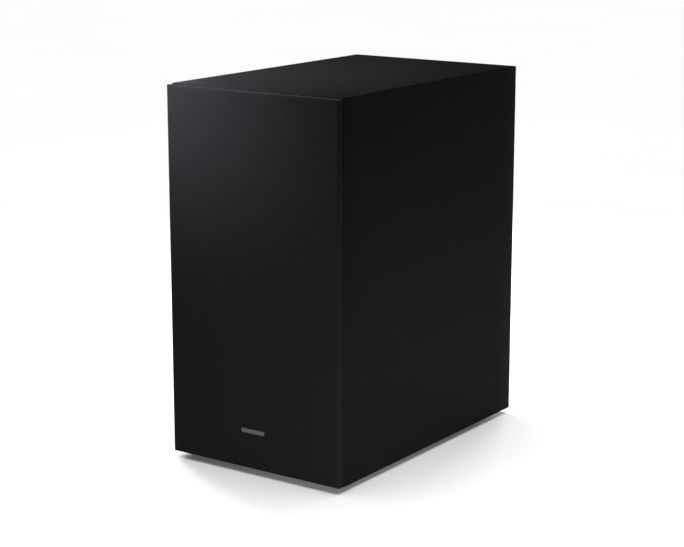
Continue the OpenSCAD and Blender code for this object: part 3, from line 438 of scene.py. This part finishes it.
# point (u, v) = (x of the cross path at u, the deeper of both paths, z of the upright path at v)
clothDepth = np.maximum(acrossPath[:, 1][:, None], upPath[:, 1][None, :])
clothPoints = np.stack(np.broadcast_arrays(
    acrossPath[:, 0][:, None], clothDepth, clothMid + upPath[:, 0][None, :]), -1)
acrossLength = arcLength(acrossPath)
upLength = arcLength(upPath)
clothUv = np.stack(np.broadcast_arrays(acrossLength[:, None], upLength[None, :]), -1)
clothMesh = gridMesh("grilleCloth", clothPoints, uv=clothUv)
grilleCloth = finishMesh("grilleCloth", clothMesh, "grilleKnit", "grille", ("grille_cloth",),
                         sharp=50)
wall = grilleCloth.modifiers.new("thickness", "SOLIDIFY")
wall.thickness = cloth["thick"]
wall.offset = -1


# badge: a plain bar with softened edges, raised over the cloth
badge = {"round": 0.9 * mm, "edge": 0.16 * mm, "cornerSteps": 9, "edgeSteps": 6}

badgeLow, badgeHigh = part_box("grille_badge")


def roundedOutline(halfAcross, halfUp, cornerRound):
    # four quarter circles joined by straight lines, anticlockwise
    turn = np.radians(np.linspace(0, 90, badge["cornerSteps"]))
    quarter = np.stack([np.cos(turn), np.sin(turn)], -1) * cornerRound
    corners = []
    for k, (sideways, upwards) in enumerate(((1, 1), (-1, 1), (-1, -1), (1, -1))):
        cosine = math.cos(k * math.pi / 2)
        sine = math.sin(k * math.pi / 2)
        spun = quarter @ np.array([[cosine, sine], [-sine, cosine]])
        corners.append(spun + [sideways * (halfAcross - cornerRound), upwards * (halfUp - cornerRound)])
    return np.concatenate(corners)


def barMesh(name, low, high, cornerRound, edge):
    # the outline carried forwards, drawn in at the front edge by a quarter circle, and closed on both ends
    halfAcross = (high.x - low.x) / 2
    halfUp = (high.z - low.z) / 2
    centre = np.array([(high.x + low.x) / 2, (high.z + low.z) / 2])
    bend = np.radians(np.linspace(0, 90, badge["edgeSteps"]))
    levels = [(high.y, 0.0)] + [(low.y + edge * (1 - math.sin(b)), edge * (1 - math.cos(b))) for b in bend]
    rings = []
    for place, inset in levels:
        outline = roundedOutline(halfAcross - inset, halfUp - inset, cornerRound - inset) + centre
        rings.append(np.stack([outline[:, 0], np.full(len(outline), place), outline[:, 1]], -1))
    count = len(rings[0])
    first = np.broadcast_to([centre[0], high.y, centre[1]], (count, 3))
    last = np.broadcast_to([centre[0], low.y, centre[1]], (count, 3))
    return gridMesh(name, np.array([first] + rings + [last]), closedColumns=True)


finishMesh("grilleBadge", barMesh("grilleBadge", badgeLow, badgeHigh, badge["round"], badge["edge"]),
           "satinAluminium", "grille", ("grille_badge",))
print("badge made")


# woofer cone, dust cap, surround and spider: lathe pieces finer than their CAD solids
woofer = {"coneFlare": 1.12, "coneThick": 0.9 * mm, "coneLip": 4 * mm, "coneBackShift": 0.25 * mm,
          "neckGap": 0.05 * mm, "capThick": 0.7 * mm, "rubberThick": 0.8 * mm, "rollRound": 6.4 * mm}

coneLow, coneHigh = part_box("cone")
surroundLow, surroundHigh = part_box("surround")
spiderLow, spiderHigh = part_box("spider")
capLow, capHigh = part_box("dust_cap")
formerLow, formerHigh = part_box("voice_coil_former")
wooferCentre = (0.0, 0.0, (coneLow.z + coneHigh.z) / 2)
formerRadius = (formerHigh.x - formerLow.x) / 2
coneRim = (coneHigh.x - coneLow.x) / 2
coneFlat = coneRim - woofer["coneLip"]
neck = formerRadius + woofer["neckGap"]
coneDepth = coneHigh.y - coneLow.y - woofer["coneThick"]


def conePlace(radius):
    # front face of the cone: depth * (1 - ((r - neck) / (rim - neck)) ^ flare)
    share = np.clip((radius - neck) / (coneFlat - neck), 0, 1)
    return coneLow.y + coneDepth * (1 - share ** woofer["coneFlare"])


def wooferPiece(name, profile, finish, body, node, sharp=60, **latheChoices):
    mesh = latheMesh(name, profile, wooferCentre, **latheChoices)
    return finishMesh(name, mesh, finish, body, (node,), sharp)


radii = np.linspace(coneFlat, neck, 40)
frontFace = np.stack([radii, conePlace(radii)], -1)
backFace = np.stack([radii + woofer["coneBackShift"], conePlace(radii) + woofer["coneThick"]], -1)[::-1]
coneProfile = np.concatenate([[[coneRim, coneLow.y]], frontFace, backFace,
                              [[coneRim, coneLow.y + woofer["coneThick"]]]])
wooferPiece("wooferCone", coneProfile, "pulpPaper", "cone_assembly", "cone", sharp=35)

capRadius = (capHigh.x - capLow.x) / 2
capRise = capHigh.y - capLow.y
# sphere through the cap's rim and crown: (radius^2 + rise^2) / (2 * rise)
ball = (capRadius ** 2 + capRise ** 2) / (2 * capRise)
innerBall = ball - woofer["capThick"]
angles = np.linspace(0, math.asin(capRadius / ball), 24)
outside = np.stack([ball * np.sin(angles), capLow.y + ball * (1 - np.cos(angles))], -1)
inside = np.stack([innerBall * np.sin(angles),
                   capLow.y + woofer["capThick"] + innerBall * (1 - np.cos(angles))], -1)[::-1]
wooferPiece("wooferDustCap", np.concatenate([outside, inside]), "pulpPaper", "cone_assembly", "dust_cap",
            closedProfile=False)


def radialBlend(piece):
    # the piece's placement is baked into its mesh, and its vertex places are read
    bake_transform(piece)
    places = vertexPlaces(piece.data)


surroundOuter = (surroundHigh.x - surroundLow.x) / 2
roll = woofer["rollRound"]
rubber = woofer["rubberThick"]
innerRoll = roll - rubber
rollMiddle = coneRim + innerRoll
seatPlace = coneLow.y
arc = np.radians(np.linspace(0, 180, 36))
outerArc = np.stack([rollMiddle + roll * np.cos(arc), seatPlace - rubber - innerRoll * np.sin(arc)], -1)
innerArc = np.stack([rollMiddle + innerRoll * np.cos(arc), seatPlace - innerRoll * np.sin(arc)], -1)[::-1]
surroundProfile = np.concatenate([
    [[surroundOuter, seatPlace], [surroundOuter, seatPlace - rubber]], outerArc,
    [[coneFlat, seatPlace - rubber], [coneFlat, seatPlace]], innerArc])
surroundPiece = wooferPiece("wooferSurround", surroundProfile, "butylRubber", None, "surround")
radialBlend(surroundPiece)

# spider: a corrugated disc, flat where it is glued to the former and to the basket
spider = {"waves": 3, "crest": 1.4 * mm, "halfThick": 0.3 * mm, "holeGap": 0.2 * mm, "flatInside": 3 * mm,
          "flatOutside": 5.7 * mm, "heldInside": 0.5 * mm, "heldOutside": 3 * mm}

spiderHole = formerRadius + spider["holeGap"]
spiderRim = (spiderHigh.x - spiderLow.x) / 2
spiderMid = (spiderLow.y + spiderHigh.y) / 2
waveStart = spiderHole + spider["flatInside"]
waveEnd = spiderRim - spider["flatOutside"]
spiderRadii = np.concatenate([[spiderHole], np.linspace(waveStart, waveEnd, 73), [spiderRim]])
phase = np.clip((spiderRadii - waveStart) / (waveEnd - waveStart), 0, 1)
# height = crest * sin(2 pi waves * share of the way out)
wave = spiderMid + spider["crest"] * np.sin(2 * math.pi * spider["waves"] * phase)
spiderProfile = np.concatenate([np.stack([spiderRadii, wave - spider["halfThick"]], -1),
                                np.stack([spiderRadii, wave + spider["halfThick"]], -1)[::-1]])
spiderPiece = wooferPiece("wooferSpider", spiderProfile, "resinCotton", None, "spider", flatUv=True)
radialBlend(spiderPiece)
print("woofer's moving parts made")


def mergedCopy(node):
    # a copy of a CAD node's mesh in the shared frame, as a bmesh with its loose triangles joined
    source = frame["nodes"][node]
    mesh = source.data.copy()
    mesh.transform(source.matrix_world)
    work = bmesh.new()
    work.from_mesh(mesh)
    bmesh.ops.remove_doubles(work, verts=work.verts, dist=weld["cad"])
    return mesh, work


def putBack(mesh, work):
    # the bmesh goes back into its mesh, which then shades by its own faces
    work.to_mesh(mesh)
    work.free()
    if "custom_normal" in mesh.attributes:
        mesh.attributes.remove(mesh.attributes["custom_normal"])


def looseParts(work):
    # groups of joined vertices, from the left to the right
    groups = []
    left = set(work.verts)
    while left:
        group = set()
        edge = [next(iter(left))]
        while edge:
            vertex = edge.pop()
            if vertex not in group:
                group.add(vertex)
                edge.extend(link.other_vert(vertex) for link in vertex.link_edges)
        left -= group
        groups.append(group)
    return sorted(groups, key=lambda group: sum(v.co.x for v in group) / len(group))


def smoothTubes(node, names, tubeFinishes, body):
    # each loose tube of the node becomes a piece of its own, rounded by one subdivision
    pieces = []
    for which, (name, finish) in enumerate(zip(names, tubeFinishes)):
        mesh, work = mergedCopy(node)
        kept = looseParts(work)[which]
        bmesh.ops.delete(work, geom=[v for v in work.verts if v not in kept], context="VERTS")
        putBack(mesh, work)
        piece = finishMesh(name, mesh, finish, body, (node,), sharp=70)
        rounding = piece.modifiers.new("rounding", "SUBSURF")
        rounding.levels = rounding.render_levels = 1
        pieces.append(piece)
    return pieces


smoothTubes("speaker_cable", ("speakerWireBlack", "speakerWireRed"), ("blackPvc", "redPvc"), "cabinet")
leads = smoothTubes("tinsel_leads", ("wooferLeadLeft", "wooferLeadRight"), ("copperBraid",) * 2, None)
for lead in leads:
    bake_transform(lead)
print("wires made")


# wadding: a soft batt bent over the top and both sides inside, its faces lumpy
wadding = {"thick": 12 * mm, "wallGap": 1.2 * mm, "bendRound": 10 * mm, "endGap": 4 * mm, "endBulge": 2 * mm,
           "skin": 0.4 * mm, "rise": 1.6 * mm, "lump": 14 * mm, "wavesEach": 4, "phaseSpan": 6.28, "seed": 7,
           "lumpSizes": ((1.0, 0.5), (0.55, 0.3), (0.3, 0.2)), "fill": 0.3, "loopSteps": 124}

waddingLow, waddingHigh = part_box("damping_wadding")


def lumps(points):
    # a sum of slanted sine waves of three sizes with seeded directions, between -1 and 1
    chance = np.random.default_rng(wadding["seed"])
    total = np.zeros(points.shape[:-1])
    for scale, weight in wadding["lumpSizes"]:
        for k in range(wadding["wavesEach"]):
            direction = chance.normal(size=3)
            direction /= np.linalg.norm(direction)
            waves = points @ direction * 2 * math.pi / (wadding["lump"] * scale)
            start = chance.uniform(0, wadding["phaseSpan"])
            total += weight / wadding["wavesEach"] * 2 * np.sin(waves + start)
    return np.clip(total, -1, 1)


def waddingPath():
    # section seen from the front: up one side, round the bend, over the top and down the other side
    thick = wadding["thick"]
    halfAcross = (waddingHigh.x - waddingLow.x) / 2 - thick / 2 - wadding["wallGap"]
    top = waddingHigh.z - thick / 2 - wadding["wallGap"]
    bottom = waddingLow.z + thick / 2
    bendRound = wadding["bendRound"]
    bend = np.radians(np.linspace(0, 90, 10))
    rise = np.stack([np.full(40, -halfAcross), np.linspace(bottom, top - bendRound, 40)], -1)
    turnLeft = np.stack([-halfAcross + bendRound * (1 - np.cos(bend)),
                         top - bendRound * (1 - np.sin(bend))], -1)
    over = np.stack([np.linspace(-halfAcross + bendRound, halfAcross - bendRound, 24), np.full(24, top)], -1)
    return np.concatenate([rise, turnLeft, over[1:-1], (turnLeft * [-1, 1])[::-1], (rise * [-1, 1])[::-1]])


def waddingMesh():
    # the section's thickness is a rounded strip, carried along the section and swollen by the lumps
    path = waddingPath()
    direction = np.gradient(path, axis=0)
    direction /= np.linalg.norm(direction, axis=1)[:, None]
    outwards = np.stack([direction[:, 1], -direction[:, 0]], -1)
    front = waddingLow.y + wadding["endGap"]
    back = waddingHigh.y - wadding["endGap"]
    halfLength = (back - front) / 2 + wadding["endBulge"]
    turn = np.linspace(0, 2 * math.pi, wadding["loopSteps"], endpoint=False)
    # cross strip as a flat rounded loop in (y, thickness): superellipse |y|^14 + |t|^3 = 1
    loopY = (front + back) / 2 + halfLength * np.sign(np.cos(turn)) * np.abs(np.cos(turn)) ** (2 / 14)
    halfThick = wadding["thick"] / 2
    loopT = (halfThick - wadding["skin"]) * np.sign(np.sin(turn)) * np.abs(np.sin(turn)) ** (2 / 3)
    points = np.stack(np.broadcast_arrays(
        path[:, 0][:, None] + outwards[:, 0][:, None] * loopT[None, :], loopY[None, :],
        path[:, 1][:, None] + outwards[:, 1][:, None] * loopT[None, :]), -1)
    swell = 1 - wadding["rise"] / halfThick * (0.5 + 0.5 * lumps(points))
    shift = loopT[None, :] * (swell - 1)
    points[..., 0] += outwards[:, 0][:, None] * shift
    points[..., 2] += outwards[:, 1][:, None] * shift
    first = np.broadcast_to(points[0].mean(0), points[0].shape)
    last = np.broadcast_to(points[-1].mean(0), points[-1].shape)
    return gridMesh("cabinetWadding", np.concatenate([first[None], points, last[None]]), closedColumns=True)


waddingPiece = finishMesh("cabinetWadding", waddingMesh(), "polyesterWadding", "cabinet",
                          ("damping_wadding",), sharp=80)
print("wadding made")


# everything else keeps its CAD shape, with edges over an angle in degrees eased by these widths in mm
edges = {"flatWithin": 0.6, "easedOver": 32, "segments": 2}
easedNodes = {
    "front_baffle": ("paintedBoard", 0.4), "back_board": ("paintedBoard", 0.4),
    "foot_front_left": ("footRubber", 0.4), "foot_front_right": ("footRubber", 0.4),
    "foot_rear_left": ("footRubber", 0.4), "foot_rear_right": ("footRubber", 0.4),
    "foot_screws": ("zincSteel", 0.15), "grille_frame": ("mouldedAbs", 0.3),
    "grille_pegs": ("naturalNylon", 0.2), "grille_grommets": ("footRubber", 0.3),
    "woofer_basket": ("powderCoat", 0.3), "woofer_gasket": ("cellFoam", 0.0),
    "surround_clamp_ring": ("mouldedAbs", 0.5), "woofer_screws": ("blackenedSteel", 0.15),
    "top_plate": ("zincSteel", 0.4), "magnet_ring": ("sinteredFerrite", 0.8),
    "pole_yoke": ("zincSteel", 0.5), "terminal_strip": ("phenolicPaper", 0.1),
    "voice_coil_former": ("amberFilm", 0.0), "voice_coil_winding": ("copperCoil", 0.1),
    "port_tube": ("mouldedAbs", 0.4), "port_screws": ("blackenedSteel", 0.15),
    "amp_panel": ("mouldedAbs", 0.25), "amp_gasket": ("cellFoam", 0.0),
    "amp_panel_screws": ("blackenedSteel", 0.15), "power_inlet": ("mouldedAbs", 0.25),
    "inlet_pins": ("tinnedMetal", 0.1), "amp_board": ("greenMask", 0.1), "board_screws": ("zincSteel", 0.15),
    "transformer_core": ("sinteredFerrite", 0.3), "transformer_winding": ("yellowTape", 0.4),
    "bulk_capacitors": ("shrinkSleeve", 0.3), "output_inductors": ("sinteredFerrite", 0.4),
    "heatsink": ("extrudedAluminium", 0.2), "amp_chip": ("mouldedEpoxy", 0.15),
    "speaker_socket": ("naturalNylon", 0.2), "speaker_plug": ("naturalNylon", 0.2),
    "wireless_board": ("blueMask", 0.1), "shield_can": ("tinnedMetal", 0.3),
    "button_switch": ("mouldedAbs", 0.2), "id_button": ("mouldedAbs", 0.3),
    "link_led": ("lampLens", 0.1), "service_port": ("tinnedMetal", 0.15),
}


def softened(node, finish, width):
    # a merged copy of a CAD node with its flat faces joined and its edges rounded, as on moulded or cut parts
    mesh, work = mergedCopy(node)
    bmesh.ops.dissolve_degenerate(work, dist=weld["cadSliver"], edges=work.edges)
    bmesh.ops.dissolve_limit(work, angle_limit=math.radians(edges["flatWithin"]), verts=work.verts,
                             edges=work.edges)
    putBack(mesh, work)
    piece = finishMesh(node + "Body", mesh, finish, bodyOf[node], (node,))
    if width:
        bevel = piece.modifiers.new("edges", "BEVEL")
        bevel.width = width
        bevel.segments = edges["segments"]
        bevel.limit_method = "ANGLE"
        bevel.angle_limit = math.radians(edges["easedOver"])
        bevel.harden_normals = False


for node, (finish, width) in easedNodes.items():
    softened(node, finish, width * mm)
print("eased pieces made:", len(easedNodes))


# floor, light and surroundings; angles in degrees, and what the camera sees past the floor is plain white
studio = {"floorRings": (0.0, 0.5, 1, 2, 5, 12, 30), "floorSides": 64, "floorDrop": 0.05 * mm,
          "floorDark": "#f5f5f4", "floorLight": "#fafaf9", "floorPatch": 0.5,
          "sunStrength": 3.2, "sunAngle": 70, "sunHigh": 3.0,
          "worldLight": "#404143", "worldShown": "#ffffff"}
# place, aim, width and height in metres, spread in degrees, power in watts, colour
softboxes = {
    "keySoftbox": ((-0.35, -0.55, 0.62), (-0.15, -0.147, 0.37), 0.15, 0.15, 28, 1.08, "#edf1ff"),
    "topSoftbox": ((-0.35, -0.55, 0.62), (-0.05, -0.147, 0.38), 0.10, 0.10, 28, 0.42, "#edf1ff"),
    "leftSoftbox": ((-1.10, 0.50, 0.70), (0.0, 0.0, 0.30), 0.5, 0.5, 100, 6.5, "#eef3ff"),
    "lowFill": ((0.30, -0.70, 0.05), (0.08, -0.15, 0.03), 0.2, 0.08, 60, 0.34, "#edf1ff"),
    "sideFill": ((0.80, -0.50, 0.06), (0.09, -0.05, 0.04), 0.2, 0.08, 50, 0.75, "#ffffff"),
    "rearLeftFill": ((-1.30, 1.60, 1.30), (0.0, 0.0, 0.20), 0.6, 0.6, 180, 0.4, "#ffffff"),
    "rearFill": ((-0.25, 1.20, 0.17), (0.0, 0.14, 0.17), 0.34, 0.3, 90, 4.0, "#ffffff"),
}

# floor: rings of growing radius round the object, (r cos t, r sin t)
ringAngles = np.linspace(0, 2 * math.pi, studio["floorSides"], endpoint=False)
ringRadii = np.array(studio["floorRings"])[:, None]
floorPoints = np.stack([ringRadii * np.cos(ringAngles), ringRadii * np.sin(ringAngles),
                        np.full((len(ringRadii), len(ringAngles)), -studio["floorDrop"])], -1)
floorMesh = gridMesh("studioFloor", floorPoints, closedColumns=True)
# matt white paper: hardly any gloss, with a faint drift of tone
finishes["whitePaper"] = grainFinish("whitePaper", studio["floorDark"], studio["floorLight"], 2 * mm,
                                     0.01 * mm, (0.85, 0.95), patch=studio["floorPatch"],
                                     **{"Specular IOR Level": 0.1})
floor = bpy.data.objects.new("studioFloor", floorMesh)
floorMesh.materials.append(finishes["whitePaper"])
bpy.context.scene.collection.objects.link(floor)

sunData = bpy.data.lights.new("overheadLight", "SUN")
sunData.energy = studio["sunStrength"]
sunData.angle = math.radians(studio["sunAngle"])
sun = bpy.data.objects.new("overheadLight", sunData)
sun.location = (0, 0, studio["sunHigh"])
bpy.context.scene.collection.objects.link(sun)

for name, (place, aim, width, height, spread, power, tint) in softboxes.items():
    boxData = bpy.data.lights.new(name, "AREA")
    boxData.shape = "RECTANGLE"
    boxData.size = width
    boxData.size_y = height
    boxData.spread = math.radians(spread)
    boxData.energy = power
    boxData.color = toLinear(tint)[:3]
    box = bpy.data.objects.new(name, boxData)
    box.location = place
    box.rotation_mode = "QUATERNION"
    box.rotation_quaternion = (Vector(aim) - Vector(place)).to_track_quat("-Z", "Y")
    box.visible_camera = False
    bpy.context.scene.collection.objects.link(box)

world = bpy.data.worlds.new("studioWorld")
world.use_nodes = True
worldTree = world.node_tree
worldTree.nodes.clear()
seen = addNode(worldTree, "ShaderNodeLightPath")
lit = addNode(worldTree, "ShaderNodeBackground", values={"Color": toLinear(studio["worldLight"])})
shown = addNode(worldTree, "ShaderNodeBackground", values={"Color": toLinear(studio["worldShown"])})
either = addNode(worldTree, "ShaderNodeMixShader",
                 links={0: seen.outputs["Is Camera Ray"], 1: lit.outputs[0], 2: shown.outputs[0]})
addNode(worldTree, "ShaderNodeOutputWorld", links={"Surface": either.outputs[0]})
bpy.context.scene.world = world
bpy.context.scene.view_settings.view_transform = "Standard"
print("studio made")
